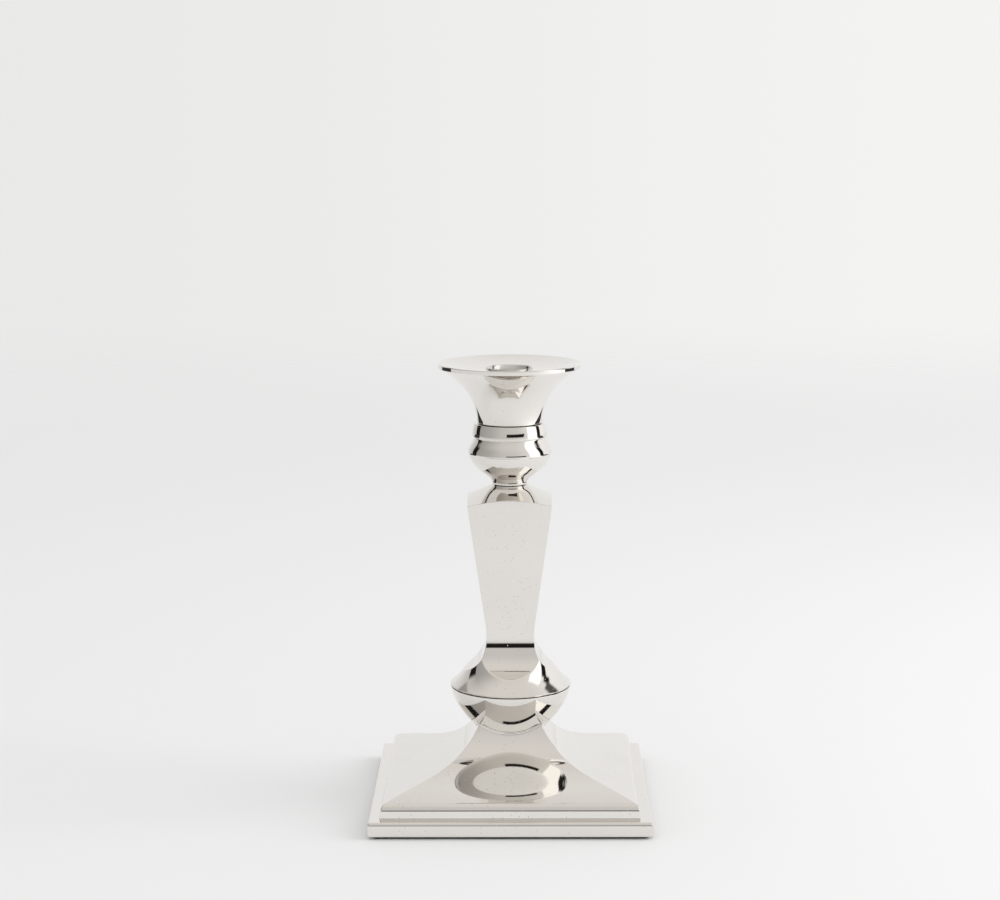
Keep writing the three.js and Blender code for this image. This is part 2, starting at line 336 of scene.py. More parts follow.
sleeve_under = SLEEVE_FLOOR - SLEEVE_WALL
sleeve_inner = SLEEVE_RADIUS - SLEEVE_WALL
roll = SLEEVE_RADIUS + SLEEVE_ROLL
lip = (roll - LIP_FLAT, SLEEVE_LIP)
throat = (sleeve_inner, SLEEVE_LIP - MOUTH)
sleeve_path = outline(
    *lines(
        (0, sleeve_under), (SLEEVE_RADIUS, sleeve_under), (SLEEVE_RADIUS, SLEEVE_LIP - ROLL_DEPTH),
        (roll, SLEEVE_LIP - SLEEVE_ROLL), (roll, SLEEVE_LIP), lip,
    ),
    cubic(lip, (roll - 1.1, SLEEVE_LIP - 0.3), (sleeve_inner, SLEEVE_LIP - ROLL_DEPTH), throat),
    *lines(throat, (sleeve_inner, SLEEVE_FLOOR), (0, SLEEVE_FLOOR)),
    soft=SLEEVE_SOFT,
)
sleeve = skin(
    "candle_sleeve_liner", turned(sleeve_path), replaces=["candle_sleeve"]
)

# %% [markdown]
# ## Candle cup
# The cup is turned with a band that swells slightly, a waist line, a flared band with a sharp
# overhanging edge, a bowl-like underside and a slim neck. The rod passes right through it, so its
# outline is a closed loop that starts and ends in the wall of the rod's hole.

# %% Candle cup
SEAT = 175.2
CUP_SEAT = SEAT + GAP
CUP_NECK = 9.5
CENTRING = 6.5  # radius of the spigot that centres the cup on the column
CENTRING_DEPTH = 3
CUP_EDGE_UNDER = (22.3, 192.2)
CUP_EDGE = (22.65, 193.1)
CUP_WAIST = 19.3
CUP_BAND = 20.35  # widest, near the band's lower edge
CUP_BAND_TOP = 19.35
RECESS_RADIUS = 15.5
RECESS_DEPTH = 10
LOOP_GAP = 0.1  # a looped outline stops this far before its start

underside = cubic((CUP_NECK, CUP_SEAT), (10, 181.5), (19.8, 181), CUP_EDGE_UNDER)
flare = cubic(CUP_EDGE, (22.5, 196.2), (20.4, 198.4), (CUP_WAIST, 200.9))
band = cubic((CUP_BAND, 202.4), (20.35, 204.6), (19.95, 206.9), (CUP_BAND_TOP, CUP_TOP))
cup_path = outline(
    *lines(
        (ROD_HOLE, CUP_SEAT - CENTRING_DEPTH), (CENTRING, CUP_SEAT - CENTRING_DEPTH),
        (CENTRING, CUP_SEAT), (CUP_NECK, CUP_SEAT),
    ),
    underside,
    *lines(CUP_EDGE_UNDER, (22.65, 192.5), CUP_EDGE),
    flare,
    *lines((CUP_WAIST, 200.9), (CUP_WAIST, 201.3), (CUP_BAND, 201.8), (CUP_BAND, 202.4)),
    band,
    *lines(
        (CUP_BAND_TOP, CUP_TOP), (RECESS_RADIUS, CUP_TOP), (RECESS_RADIUS, CUP_TOP - RECESS_DEPTH),
        (ROD_HOLE, CUP_TOP - RECESS_DEPTH), (ROD_HOLE, CUP_SEAT - CENTRING_DEPTH + LOOP_GAP),
    ),
)
cup = skin(
    "candle_cup_casting",
    turned(cup_path),
    loop=True,
    replaces=["candle_cup"],
)

# %% [markdown]
# ## Column
# The column is where a square meets a circle, twice. Its foot is turned as a bell, and four flat
# faces are milled into it, each ending in a curved scoop, so that a U-shaped edge is left on the
# bell. Its shoulder is turned too, as a low cone that the faces cut off in four shallow arches. A
# skin of columns that run straight up makes both: on each column, the point stands as far out as
# the nearer of the two shapes, R = min(square, bell). The rows are gathered at the height where
# the two are equal, which is found for all columns at once by halving an interval, so the edge
# stays crisp.

# %% Where two outlines cross
HALVINGS = 40  # enough to reach the last digit


def blend_min(a, b, size):
    """The lesser of a and b, rounded where they differ by less than size:
    min(a, b) - size (1 - |a - b| / size)^2 / 4. With a negative size it is the greater, rounded."""
    k = abs(size)
    near = k * np.clip(1 - np.abs(a - b) / k, 0, 1) ** 2 / 4
    return np.minimum(a, b) - near if size > 0 else np.maximum(a, b) + near


def crossing(difference, low, high):
    """Where difference, a function of one value per column, changes sign between low and high."""
    sign_low = np.sign(difference(low))
    for _ in range(HALVINGS):
        middle = (low + high) / 2
        same = np.sign(difference(middle)) == sign_low
        low, high = np.where(same, middle, low), np.where(same, high, middle)
    return (low + high) / 2


def far_out(points):
    """Distance from the axis of each xy point, and its unit direction."""
    distance = np.linalg.norm(points, axis=-1)
    return distance, points / distance[..., None]


def eased(count, power=1.6):
    """From 0 to 1 in count steps that are shorter at the start, 0 left out: t^power."""
    return np.linspace(0, 1, count + 1)[1:] ** power


# %% Column outlines
KNOP_RADIUS = 33.06
COLUMN_UNDER = 63.55
HEAD_HALF = 22.8
WAIST_HALF = 12.9
COLUMN_ARRIS = 0.35  # rounding of the column's upright edges
COLUMN_SPIGOT = 60.85  # underside of the disc that sits in the foot's recess
SPIGOT_ROUND = 11.7
KNOP_EDGE = 64.3
U_EDGE = 0.5  # rounding of the edge that the scoops leave on the bell
EAVE_SOFT = 0.3
COVE_SOFT = 4
BELL_FLARE = 66.0  # up to here the bell belongs to the rounded lower edge
WAIST_START, WAIST_END = 96, 104.0
HEAD_CORNER = 166.8
CREASE_START = 165.9
SEAT_RADIUS = 10.0
FINE_STEPS = 400  # of a curve that is only read off between its points

bell = cubic((KNOP_RADIUS, KNOP_EDGE), (24.5, 71), (22.2, 77), (21.9, 84), steps=FINE_STEPS)
bell_above = np.vstack([bell, [(34, 104), (80, 120), (80, 200)]])
cove = cubic(
    (25.5, 72), (15, 78.5), (WAIST_HALF, 83), (WAIST_HALF, WAIST_START), steps=FINE_STEPS
)
face_path = outline(
    *lines((40, 60.9), (25.5, 72)),
    cove,
    *lines((WAIST_HALF, WAIST_START), (HEAD_HALF, HEAD_CORNER), (HEAD_HALF, 176)),
    soft=COVE_SOFT,
)
shoulder = cubic((34, 166.5), (26, 168.3), (17, 171.9), (SEAT_RADIUS, SEAT), steps=200)[::-1]


def face_half(z):
    """Half width between two opposite faces at height z."""
    return np.interp(z, face_path[:, 1], face_path[:, 0])


def bell_radius(z):
    """Radius of the bell at height z. Above the bell it opens out, past the faces."""
    return np.interp(z, bell_above[:, 1], bell_above[:, 0])


def shoulder_height(r):
    """Height of the turned shoulder at distance r from the axis."""
    return np.interp(r, shoulder[:, 0], shoulder[:, 1])


def face_over_bell(z):
    """How much further out the square is than the bell, for one height per column."""
    return far_out(rounded_square(face_half(z), COLUMN_ARRIS))[0] - bell_radius(z)


u_height = crossing(face_over_bell, BELL_FLARE * every, 84 * every)
print("the U runs from", round(u_height.min(), 2), "to", round(u_height.max(), 2), "mm")

# %% Column skin
bell_from = far_out(rounded_square(face_half(u_height), COLUMN_ARRIS))[1]
eave_ring = rounded_square(HEAD_HALF * every, COLUMN_ARRIS)
eave_radius, eave_from = far_out(eave_ring)
eave_height = shoulder_height(eave_radius)


def column_wall(z):
    """At each height, the square or the bell, whichever is nearer to the axis."""
    square, direction = far_out(rounded_square(face_half(z), COLUMN_ARRIS))
    return raised(blend_min(square, bell_radius(z), U_EDGE)[..., None] * direction, z)


low_path = outline(
    *lines(
        (ROD_HOLE, COLUMN_SPIGOT), (SPIGOT_ROUND, COLUMN_SPIGOT), (SPIGOT_ROUND, COLUMN_UNDER),
        (KNOP_RADIUS - 0.4, COLUMN_UNDER), (KNOP_RADIUS, KNOP_EDGE),
    ),
    bell[bell[:, 1] < BELL_FLARE],
)
t = eased(34)[::-1, None]
bell_heights = (u_height - t * (u_height - BELL_FLARE))[1:]
bell_square = far_out(rounded_square(face_half(bell_heights), COLUMN_ARRIS))[0]
bell_skin = raised(
    blend_min(bell_square, bell_radius(bell_heights), U_EDGE)[..., None] * bell_from, bell_heights
)
cove_skin = column_wall(u_height + np.r_[0, eased(90)][:, None] * (WAIST_END - u_height))
shaft_heights = np.linspace(WAIST_END, CREASE_START, 12)[1:, None] * every
crease = np.linspace(0, 1, 13)[1:, None] * (eave_height - EAVE_SOFT - CREASE_START) + CREASE_START
wall_skin = column_wall(np.vstack([shaft_heights, crease]))

t = np.linspace(0, 1, CORNER_STEPS + 1)[1:, None, None]
below = np.column_stack([eave_ring, eave_height - EAVE_SOFT])
corner = np.column_stack([eave_ring, eave_height])
inside = eave_radius - EAVE_SOFT
beyond = np.column_stack([inside[:, None] * eave_from, shoulder_height(inside)])
eave_skin = quadratic(below, corner, beyond, t)
reach_in = inside + np.linspace(0, 1, 31)[1:, None] * (SEAT_RADIUS - inside)
shoulder_skin = raised(reach_in[..., None] * eave_from, shoulder_height(reach_in))
recess = CENTRING + GAP
seat_path = outline(
    *lines(
        (SEAT_RADIUS - 0.05, SEAT), (recess, SEAT), (recess, SEAT - CENTRING_DEPTH),
        (ROD_HOLE, SEAT - CENTRING_DEPTH), (ROD_HOLE, 61),
    )
)
column = skin(
    "column_casting",
    np.concatenate(
        [
            turned(low_path, bell_from), bell_skin, cove_skin, wall_skin, eave_skin, shoulder_skin,
            turned(seat_path, eave_from),
        ]
    ),
    loop=True,
    replaces=["column"],
)

# %% [markdown]
# ## Foot
# The foot is the other casting where a square meets a circle. Its four faces sweep up in a hollow
# curve and run into the bowl under the knop. Here the outer of the two shapes counts, R =
# max(square, bowl), and the joint between them is a soft fillet, because a hollow corner can't be
# polished sharp. Below, the step and the plinth are plain rounded squares. The underside is
# hollow, as castings are, to save metal and to leave room for the nut.

# %% Foot outlines
KNOP_TOP = 63.25
KNOP_FLOOR = 38.0
NECK_HALF = 17.1
FACE_EDGE = 65.9  # half width where the hollow face meets the step's rounded edge
STEP_TOP = 15.9
FOOT_ARRIS = 0.45
KNOP_FILLET = -2.6
PLINTH_SOFT = 0.9
PLINTH_HALF = 75
PLINTH_TOP = 7.9
PLINTH_WORN = 5.2  # the plinth's worn upper edge starts here
STEP_FOOT = (68.5, 11.6)  # the step's worn upper edge starts here
PLINTH_ARRIS = 0.8
HOLLOW_ARRIS = 1.5
HOLLOW_SOFT = 0.8
HOLLOW_MOUTH = 69.5
HOLLOW_SHELF = (62.5, 8.5)
HOLLOW_CEILING = 34.0
CEILING_HALF = 13
KNOP_RECESS = 12  # takes the disc under the column
KNOP_RECESS_FLOOR = KNOP_TOP - 2.85
FACE_SHARE = 0.015  # share of the hollow face that belongs to the step's rounded edge

rise = cubic(
    (FACE_EDGE, STEP_TOP), (45.8, 23.5), (28, 21.9), (NECK_HALF, 44.8), steps=FINE_STEPS
)
rise_above = np.vstack([rise, [(NECK_HALF, 60)]])
bowl = cubic(
    (17, KNOP_FLOOR), (25, 46.5), (31.5, 53.5), (KNOP_RADIUS, KNOP_TOP), steps=FINE_STEPS
)
bowl_below = np.vstack([[(0, 20)], bowl])


def rise_half(z):
    """Half width between two opposite hollow faces at height z."""
    return np.interp(z, rise_above[:, 1], rise_above[:, 0])


def bowl_radius(z):
    """Radius of the bowl under the knop at height z."""
    return np.interp(z, bowl_below[:, 1], bowl_below[:, 0])


def face_over_bowl(z):
    """How much further out the square is than the bowl, for one height per column."""
    return far_out(rounded_square(rise_half(z), FOOT_ARRIS))[0] - bowl_radius(z)


neck_height = crossing(face_over_bowl, 36 * every, 54 * every)
print("the faces meet the bowl at", neck_height.min().round(2), "to", neck_height.max().round(2))

# %% Foot skin
def foot_wall(half, z):
    """At each height, the square or the bowl, whichever is further from the axis, with a fillet."""
    square, direction = far_out(rounded_square(half, FOOT_ARRIS))
    return raised(blend_min(square, bowl_radius(z), KNOP_FILLET)[..., None] * direction, z)


edge_share = int(FACE_SHARE * len(rise))
worn = np.linspace(0, 1, 31)[:, None]
plinth_top = quadratic(
    np.array([PLINTH_HALF, PLINTH_WORN]),
    np.array([PLINTH_HALF, PLINTH_TOP]),
    np.array([73.4, PLINTH_TOP]),
    worn,
)
step_top = quadratic(np.array(STEP_FOOT), np.array([68.2, 15.3]), rise[edge_share], worn)
step_path = np.vstack(
    [
        outline(
            *lines((HOLLOW_MOUTH, 0), (PLINTH_HALF, 0), (PLINTH_HALF, PLINTH_WORN)),
            soft=PLINTH_SOFT,
        ),
        plinth_top[1:],
        outline(*lines((73.3, PLINTH_TOP), (68.9, PLINTH_TOP), STEP_FOOT)),
        step_top[1:],
    ]
)
share = np.interp(neck_height, rise_above[:, 1], np.arange(len(rise_above)) / (len(rise) - 1))
first = edge_share / (len(rise) - 1)
t = 1 - eased(110, 1.5)[::-1, None]
place = (first + np.vstack([t[1:], [[1]]]) * (share - first)) * (len(rise) - 1)
face_half_width = np.interp(place, np.arange(len(rise_above)), rise_above[:, 0])
face_height = np.interp(place, np.arange(len(rise_above)), rise_above[:, 1])
face_skin = foot_wall(face_half_width, face_height)
bowl_heights = neck_height + eased(90)[:, None] * (KNOP_TOP - EAVE_SOFT - neck_height)
bowl_skin = foot_wall(rise_half(bowl_heights), bowl_heights)
bowl_from = far_out(rounded_square(rise_half(KNOP_TOP * every), FOOT_ARRIS))[1]
edge_path = quadratic(
    np.array([bowl_radius(KNOP_TOP - EAVE_SOFT), KNOP_TOP - EAVE_SOFT]),
    np.array([KNOP_RADIUS, KNOP_TOP]),
    np.array([KNOP_RADIUS - EAVE_SOFT, KNOP_TOP]),
    np.linspace(0, 1, CORNER_STEPS + 1)[1:, None],
)
top_path = outline(
    *lines(
        (KNOP_RADIUS - EAVE_SOFT - SUPPORT, KNOP_TOP), (KNOP_RECESS, KNOP_TOP),
        (KNOP_RECESS, KNOP_RECESS_FLOOR), (ROD_HOLE, KNOP_RECESS_FLOOR),
        (ROD_HOLE, HOLLOW_CEILING + 0.5),
    )
)
hollow_path = outline(
    *lines((8, HOLLOW_CEILING), (CEILING_HALF, HOLLOW_CEILING)),
    cubic(HOLLOW_SHELF, (40, 11), (19, 20), (CEILING_HALF, HOLLOW_CEILING))[::-1],
    *lines(HOLLOW_SHELF, (HOLLOW_MOUTH, 3), (HOLLOW_MOUTH, 0.05)),
    soft=HOLLOW_SOFT,
)
foot = skin(
    "foot_casting",
    np.concatenate(
        [
            squared(step_path, PLINTH_ARRIS), face_skin, bowl_skin, turned(edge_path, bowl_from),
            turned(top_path, bowl_from), squared(hollow_path, HOLLOW_ARRIS),
        ]
    ),
    loop=True,
    replaces=["foot"],
)

# %% [markdown]
# ## Rod, washers and nut
# Nothing is glued: one threaded rod runs up the middle and draws the castings together. A screw
# thread is a wave that climbs as it goes round: the depth at a point depends on its height less
# its share of a turn. The nut is a six-sided outline cut back by a cone at both ends, which is
# what a chamfer is. The split washer is a small section carried along most of a circle.

# %% Tie rod
ROD_RADIUS = 4.0
ROD_BOTTOM = 20.0
ROD_TOP = 206.5
THREAD_PITCH = 1.25
THREAD_DEPTH = 0.62
THREADED = 26.0
ROD_COLUMNS = 36
ROWS_PER_TURN = 8
ROD_CHAMFER = 0.8


def thread_wave(z, turn_share):
    """A ridge once in each pitch, between 0 and 1, that climbs one pitch in each turn."""
    return np.abs(2 * np.mod(z / THREAD_PITCH - turn_share, 1) - 1)


rows = int(THREADED / THREAD_PITCH * ROWS_PER_TURN)
heights = np.r_[
    np.linspace(ROD_BOTTOM, ROD_BOTTOM + THREADED, rows),
    np.linspace(ROD_TOP - THREADED, ROD_TOP, rows),
][:, None]
from_end = np.minimum(heights - ROD_BOTTOM, ROD_TOP - heights)
run_out = np.clip((THREADED - from_end) / THREAD_PITCH, 0, 1)
turn_share = np.arange(ROD_COLUMNS)[None] / ROD_COLUMNS
radius = ROD_RADIUS - THREAD_DEPTH * run_out * thread_wave(heights, turn_share)
radius = np.minimum(radius, ROD_RADIUS - ROD_CHAMFER + from_end)
rod_skin = raised(radius[..., None] * circle(ROD_COLUMNS)[None], heights[:, 0])
rod_ends = turned(np.array([(0, ROD_BOTTOM), (0, ROD_TOP)]), circle(ROD_COLUMNS))
tie_rod = skin(
    "tie_rod_threaded",
    np.concatenate([rod_ends[:1], rod_skin, rod_ends[1:]]),
    replaces=["tie_rod"],
)

# %% Washers
WASHER_RADIUS, WASHER_THICKNESS = 11.0, 2.0
LOCK_RADIUS, LOCK_THICKNESS = 7.4, 1.8
WASHER_TOP = HOLLOW_CEILING - GAP
LOCK_TOP = WASHER_TOP - WASHER_THICKNESS - GAP
SLIT_ANGLE = 0.1
WASHER_SOFT = 0.3


def section(inner, outer, bottom, top):
    """A closed rectangle of a ring's section, with its edges rounded."""
    middle = (bottom + top) / 2
    path = outline(
        *lines(
            (inner, middle), (inner, top), (outer, top), (outer, bottom), (inner, bottom),
            (inner, middle),
        ),
        soft=WASHER_SOFT,
    )
    return path[:-1]


washer = skin(
    "plain_washer_disc",
    turned(
        section(ROD_HOLE, WASHER_RADIUS, WASHER_TOP - WASHER_THICKNESS, WASHER_TOP), circle(96)
    ),
    loop=True,
    replaces=["plain_washer"],
)
ring = section(ROD_HOLE, LOCK_RADIUS, LOCK_TOP - LOCK_THICKNESS, LOCK_TOP)
angle = np.linspace(SLIT_ANGLE, 2 * math.pi - SLIT_ANGLE, 90)[:, None]
lock_grid = np.dstack(
    [np.cos(angle) * ring[:, 0], np.sin(angle) * ring[:, 0], angle * 0 + ring[:, 1]]
)
lock_washer = skin("lock_washer_split", lock_grid, replaces=["lock_washer"])

# %% Nut
NUT_TOP = LOCK_TOP - LOCK_THICKNESS - GAP
NUT_HEIGHT = 6.5
NUT_FLATS = 13.0
CHAMFER_START = 0.96  # of half the width across flats
CHAMFER_SLOPE = 1.7
CHAMFER_SOFT = 0.12
SIXTH = math.pi / 3

nut_from = circle(120)
around = np.arctan2(nut_from[:, 1], nut_from[:, 0])
hexagon = NUT_FLATS / 2 / np.cos(np.mod(around + SIXTH / 2, SIXTH) - SIXTH / 2)
above = np.linspace(0, 1, 25)[:, None] * NUT_HEIGHT
cone = NUT_FLATS / 2 * CHAMFER_START + CHAMFER_SLOPE * np.minimum(above, NUT_HEIGHT - above)
nut_wall = raised(
    blend_min(hexagon[None], cone, CHAMFER_SOFT)[..., None] * nut_from[None],
    NUT_TOP - NUT_HEIGHT + above[:, 0],
)
bore = turned(np.array([(ROD_HOLE, NUT_TOP), (ROD_HOLE, NUT_TOP - NUT_HEIGHT)]), nut_from)
nut = skin(
    "base_nut_hexagon",
    np.concatenate([nut_wall, bore]),
    loop=True,
    replaces=["base_nut"],
)

# %% [markdown]
# ## Felt
# A thin square of felt is glued under the foot, so that the metal doesn't scratch the table. From
# the front only its dark edge shows. It is cut with a knife, so the edge wanders by a tenth of a
# millimetre: a few sine waves of random phase, from a seeded generator, so that every run cuts
# the same edge.

# %% Felt pad
felt_low, felt_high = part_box("felt_pad")
FELT_HALF = felt_high.x / MM
FELT_CORNER = 3.0
FELT_WANDER = 0.12
WAVES = 24
FELT_SOFT = 0.3

felt_bottom, felt_top = (z / MM - METALWORK / MM for z in (felt_low.z, felt_high.z))
felt_edge = FELT_HALF - FELT_WANDER
felt_path = outline(
    *lines((0, felt_bottom), (felt_edge, felt_bottom), (felt_edge, felt_top), (0, felt_top)),
    soft=FELT_SOFT,
)
felt_grid = squared(felt_path, felt_path[:, 0] * FELT_CORNER / FELT_HALF)
rng = np.random.default_rng(7)
column_angle = np.arctan2(REACH[:, 1], REACH[:, 0])
wave = np.sin(
    column_angle[:, None] * rng.integers(5, 160, WAVES) + rng.uniform(0, 2 * math.pi, WAVES)
).mean(1)
felt_grid[..., :2] *= (1 + FELT_WANDER / FELT_HALF * wave)[None, :, None]
felt = skin("felt_pad_cut", felt_grid, replaces=["felt_pad"])

# %% [markdown]
# ## Finishes
# Bright nickel plate over a casting is a mirror with a faint warm tint, but not a perfect one.
# Four small effects make it real: pits where gas was trapped in the casting, fine lines from the
# polishing wheel, a slow waviness of the hand-polished faces that bends reflections, and a thin
# haze of handling. Each one is a node group that puts out a mask or a height, so that the same
# effect can be used in several materials.

# %% Node helpers
def add(tree, kind, values=(), **settings):
    """Adds a node. Values go to its inputs: a socket is linked, anything else is set."""
    node = tree.nodes.new(kind)
    for name, setting in settings.items():
        setattr(node, name, setting)
    for key, value in dict(values).items():
        if isinstance(value, bpy.types.NodeSocket):
            tree.links.new(value, node.inputs[key])
        else:
            node.inputs[key].default_value = value
    return node


def maths(tree, operation, a, b=0.0):
    """The result of one sum with one or two values."""
    return add(tree, "ShaderNodeMath", {0: a, 1: b}, operation=operation).outputs[0]


def multiply_add(tree, value, by, plus):
    """value by + plus."""
    values = {0: value, 1: by, 2: plus}
    return add(tree, "ShaderNodeMath", values, operation="MULTIPLY_ADD").outputs[0]


def smooth_step(tree, value, low, high):
    """From 0 at low to 1 at high, with a smooth start and end."""
    values = {"Value": value, "From Min": low, "From Max": high}
    return add(tree, "ShaderNodeMapRange", values, interpolation_type="SMOOTHSTEP").outputs[0]


def mix_colours(tree, share, a, b):
    """(1 - share) a + share b."""
    node = add(tree, "ShaderNodeMix", data_type="RGBA")
    for socket, value in zip((node.inputs[0], node.inputs[6], node.inputs[7]), (share, a, b)):
        if isinstance(value, bpy.types.NodeSocket):
            tree.links.new(value, socket)
        else:
            socket.default_value = value
    return node.outputs[2]


def effect(name, inputs, outputs):
    """A new shader node group with number inputs and the named outputs. Gives the group, what comes
    into it, and what it hands out."""
    group = bpy.data.node_groups.new(name, "ShaderNodeTree")
    for label, value in inputs.items():
        socket = group.interface.new_socket(label, in_out="INPUT", socket_type="NodeSocketFloat")
        socket.default_value = value
    for label in outputs:
        group.interface.new_socket(label, in_out="OUTPUT", socket_type="NodeSocketFloat")
    entry, result = group.nodes.new("NodeGroupInput"), group.nodes.new("NodeGroupOutput")
    return group, entry.outputs, result.inputs


def noise(tree, place, scale, detail=2.0, rough=0.5):
    """Cloudy values between 0 and 1 that change over about 1 / scale metres."""
    values = {"Vector": place, "Scale": scale, "Detail": detail, "Roughness": rough}
    return add(tree, "ShaderNodeTexNoise", values).outputs["Fac"]


def new_look(name):
    """A new material: the material, its node tree, and the inputs of its Principled shader."""
    material = bpy.data.materials.new(name)
    material.use_nodes = True
    return material, material.node_tree, material.node_tree.nodes["Principled BSDF"].inputs


print("node helpers ready")


# %% Casting pits
PATCHES = 45.0  # the pits come in patches of about 1 / 45 metre

pits, given, result = effect("casting_pits", {"Scale": 900.0, "Size": 0.2, "Amount": 0.5}, ["Pit"])
place = add(pits, "ShaderNodeTexCoord").outputs["Object"]
cells = add(pits, "ShaderNodeTexVoronoi", {"Vector": place, "Scale": given["Scale"]})
chosen = add(pits, "ShaderNodeSeparateColor", {0: cells.outputs["Color"]}).outputs[0]
patch = smooth_step(pits, noise(pits, place, PATCHES), 0.38, 0.66)
kept = maths(pits, "LESS_THAN", chosen, maths(pits, "MULTIPLY", given["Amount"], patch))
from_middle = smooth_step(pits, cells.outputs["Distance"], 0.0, given["Size"])
inside_pit = maths(pits, "SUBTRACT", 1.0, from_middle)
pits.links.new(maths(pits, "MULTIPLY", inside_pit, kept), result["Pit"])
print("made", pits.name)

# %% Polishing lines and waviness
BEND = 0.03  # metres by which a line wanders
LINE_SCALE = (60.0, 60.0, 2600.0)  # long round the piece, fine up and down

polish, given, result = effect("polishing_lines", {"Strength": 1.0}, ["Height", "Haze"])
place = add(polish, "ShaderNodeTexCoord").outputs["Object"]
swirl = add(polish, "ShaderNodeTexNoise", {"Vector": place, "Scale": 9.0, "Detail": 1.0})
bend = {0: swirl.outputs["Color"], 1: (BEND, BEND, BEND), 2: place}
bent = add(polish, "ShaderNodeVectorMath", bend, operation="MULTIPLY_ADD")
stretched = {"Vector": bent.outputs[0], "Scale": LINE_SCALE}
long_way = add(polish, "ShaderNodeMapping", stretched)
fine = noise(polish, long_way.outputs[0], 1.0, 3.0, 0.6)
haze = smooth_step(polish, noise(polish, place, 30.0, 4.0, 0.6), 0.35, 0.75)
polish.links.new(maths(polish, "MULTIPLY", fine, given["Strength"]), result["Height"])
polish.links.new(maths(polish, "MULTIPLY", haze, given["Strength"]), result["Haze"])

waves, given, result = effect("hand_waviness", {"Scale": 28.0}, ["Height"])
place = add(waves, "ShaderNodeTexCoord").outputs["Object"]
waves.links.new(noise(waves, place, given["Scale"], 1.0, 0.4), result["Height"])
print("effects:", [g.name for g in bpy.data.node_groups])


# %% Metal materials
PIT_SCALE = 650.0
PIT_DEPTH_MM = 0.08
PAINTED_SHADE_IN_PITS = 0.35  # painted shade: a pit's colour as a share of the metal's
# how fully the painted shade covers a pit, and how fully the haze dulls the metal's colour
PAINTED_SHADE_COVER, HAZE_COVER = 0.8, 0.5
PIT_ROUGHNESS = 0.25


def metal(name, tint, dull_tint, roughness, haze, pit_amount, wave_mm, line_mm):
    """A polished metal: base colour is darkened in the pits as painted shade and dulls under the
    haze, roughness rises with both, and the normal is bent by waviness, polishing lines and pits in
    turn."""
    material, tree, shader = new_look(name)
    shader["Metallic"].default_value = 1.0
    pit = add(tree, "ShaderNodeGroup", node_tree=pits)
    pit.inputs["Amount"].default_value = pit_amount
    pit.inputs["Scale"].default_value = PIT_SCALE
    line = add(tree, "ShaderNodeGroup", node_tree=polish)
    wave = add(tree, "ShaderNodeGroup", node_tree=waves)
    dulled = maths(tree, "MULTIPLY", line.outputs["Haze"], HAZE_COVER)
    colour = mix_colours(tree, dulled, tint, dull_tint)
    # painted shade: the base colour is darkened inside each pit, where shadow would fall
    painted_shade_share = maths(tree, "MULTIPLY", pit.outputs["Pit"], PAINTED_SHADE_COVER)
    painted_shade_colour = tuple(PAINTED_SHADE_IN_PITS * c for c in tint[:3]) + (1.0,)
    tree.links.new(mix_colours(tree, painted_shade_share, colour, painted_shade_colour), shader["Base Color"])
    rough = multiply_add(tree, pit.outputs["Pit"], PIT_ROUGHNESS, roughness)
    rough = multiply_add(tree, line.outputs["Haze"], haze, rough)
    tree.links.new(rough, shader["Roughness"])
    normal = None
    for height, depth in (
        (wave.outputs["Height"], wave_mm),
        (line.outputs["Height"], line_mm),
        (maths(tree, "SUBTRACT", 1.0, pit.outputs["Pit"]), PIT_DEPTH_MM),
    ):
        values = {"Height": height, "Distance": depth * MM, "Strength": 1.0}
        bump = add(tree, "ShaderNodeBump", values)
        if normal is not None:
            tree.links.new(normal, bump.inputs["Normal"])
        normal = bump.outputs["Normal"]
    tree.links.new(normal, shader["Normal"])
    return material


nickel = metal(
    "bright_nickel_plate", (0.84, 0.815, 0.778, 1), (0.79, 0.765, 0.725, 1),
    roughness=0.025, haze=0.03, pit_amount=0.5, wave_mm=0.03, line_mm=0.0006,
)
liner = metal(
    "nickel_liner_satin", (0.76, 0.74, 0.71, 1), (0.66, 0.64, 0.61, 1),
    roughness=0.14, haze=0.12, pit_amount=0.1, wave_mm=0.02, line_mm=0.002,
)
zinc = metal(
    "zinc_plated_steel", (0.60, 0.61, 0.62, 1), (0.42, 0.43, 0.42, 1),
    roughness=0.3, haze=0.25, pit_amount=0.3, wave_mm=0.01, line_mm=0.004,
)
print("metals:", nickel.name, liner.name, zinc.name)

# %% [markdown]
# ## Felt, and which piece wears what
# Felt is a mat of fine fibres in denser and thinner clumps. Two sizes of noise multiplied
# together give it both, from near black to a dark green grey, and a sheen brightens it where
# fibres stand on edge. The last cell gives every piece its finish.

# %% Felt material
FELT_DARK, FELT_LIGHT = (0.008, 0.010, 0.009, 1), (0.035, 0.042, 0.037, 1)
NAP_MM = 0.3  # how far the fibres stand up

felt_look, tree, shader = new_look("dark_green_felt")
shader["Roughness"].default_value = 1.0
shader["Sheen Weight"].default_value = 0.4
place = add(tree, "ShaderNodeTexCoord").outputs["Object"]
fibres = noise(tree, place, 2200.0, 4.0, 0.7)
clumps = noise(tree, place, 300.0, 3.0, 0.6)
shade = smooth_step(tree, maths(tree, "MULTIPLY", fibres, clumps), 0.12, 0.4)
tree.links.new(mix_colours(tree, shade, FELT_DARK, FELT_LIGHT), shader["Base Color"])
nap = {"Height": fibres, "Distance": NAP_MM * MM, "Strength": 0.8}
tree.links.new(add(tree, "ShaderNodeBump", nap).outputs["Normal"], shader["Normal"])

# %% Give every piece its finish
for pieces_of, look in (
    ((drip_pan, cup, column, foot), nickel),
    ((sleeve,), liner),
    ((tie_rod, washer, lock_washer, nut), zinc),
    ((felt,), felt_look),
):
    for piece in pieces_of:
        piece.data.materials.append(look)
    print(look.name, "on", [piece.name for piece in pieces_of])

# %% [markdown]
# ## Table
# The table is a wide pale disc. It turns clear far away from the candlestick, so that no edge or
# horizon shows, and it has no gloss, because a gloss would show the plinth a second time.

